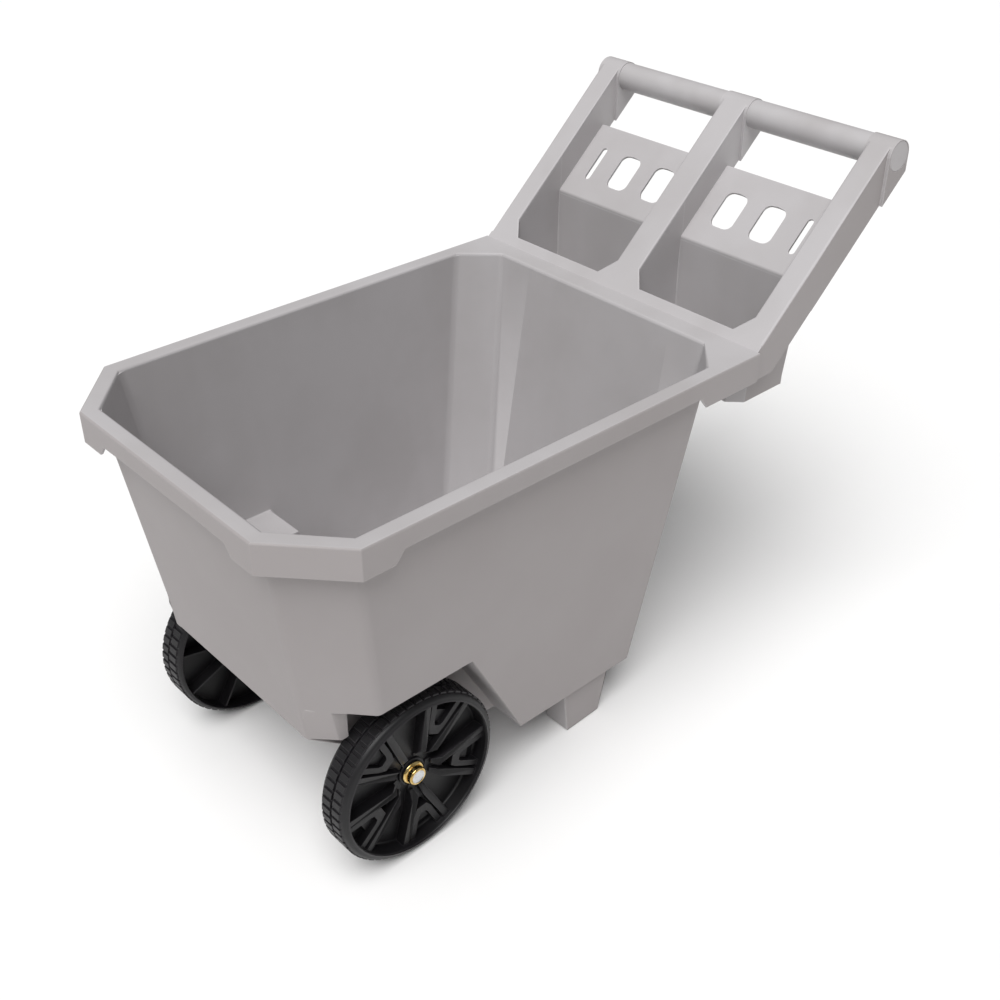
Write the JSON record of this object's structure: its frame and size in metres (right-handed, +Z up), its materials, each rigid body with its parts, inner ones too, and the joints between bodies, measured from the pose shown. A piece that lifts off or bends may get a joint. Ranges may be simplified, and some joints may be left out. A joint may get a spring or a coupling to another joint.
{
  "type": "garden cart",
  "caption": "Garden cart with a deep moulded tub, a rolled rim, tool pockets and a raised handle frame with a round grip; it rolls on wheels and stands on rear feet.",
  "frame": {"origin": "on the ground below the centre of the cart's bounding box", "axes": "+Z up, +X across the cart, +Y from the wheels towards the grip"},
  "size_m": [0.5052, 0.9597, 0.7048],
  "materials": {
    "body_plastic": "matte, light warm grey",
    "grip_plastic": "matte, light warm grey",
    "wheel_plastic": "satin black",
    "spacer_plastic": "satin black",
    "steel": "zinc-plated",
    "gold_zinc": "polished yellow zinc"
  },
  "bodies": {
    "cart": {"tub": "body_plastic", "rim_frame": "body_plastic", "tool_pocket_left": "body_plastic", "tool_pocket_right": "body_plastic", "tray_panel_left": "body_plastic", "tray_panel_right": "body_plastic", "foot_left": "body_plastic", "foot_right": "body_plastic", "grip_tube": "grip_plastic", "grip_plug_left": "grip_plastic", "grip_plug_right": "grip_plastic", "axle": "steel", "inner_washer_left": "steel", "inner_washer_right": "steel", "outer_washer_left": "steel", "outer_washer_right": "steel", "grip_screws": "steel", "axle_cap_left": "gold_zinc", "axle_cap_right": "gold_zinc", "axle_spacer_left": "spacer_plastic", "axle_spacer_right": "spacer_plastic"},
    "wheel_left": {"wheel_left": "wheel_plastic", "hub_bush_left": "spacer_plastic"},
    "wheel_right": {"wheel_right": "wheel_plastic", "hub_bush_right": "spacer_plastic"}
  },
  "joints": [
    {"name": "wheel_left_spin", "type": "hinge", "parent": "cart", "child": "wheel_left", "pos_m": [-0.1787, -0.326, 0.117], "axis": [1, 0, 0], "continuous": true},
    {"name": "wheel_right_spin", "type": "hinge", "parent": "cart", "child": "wheel_right", "pos_m": [0.1787, -0.326, 0.117], "axis": [1, 0, 0], "continuous": true}
  ]
}
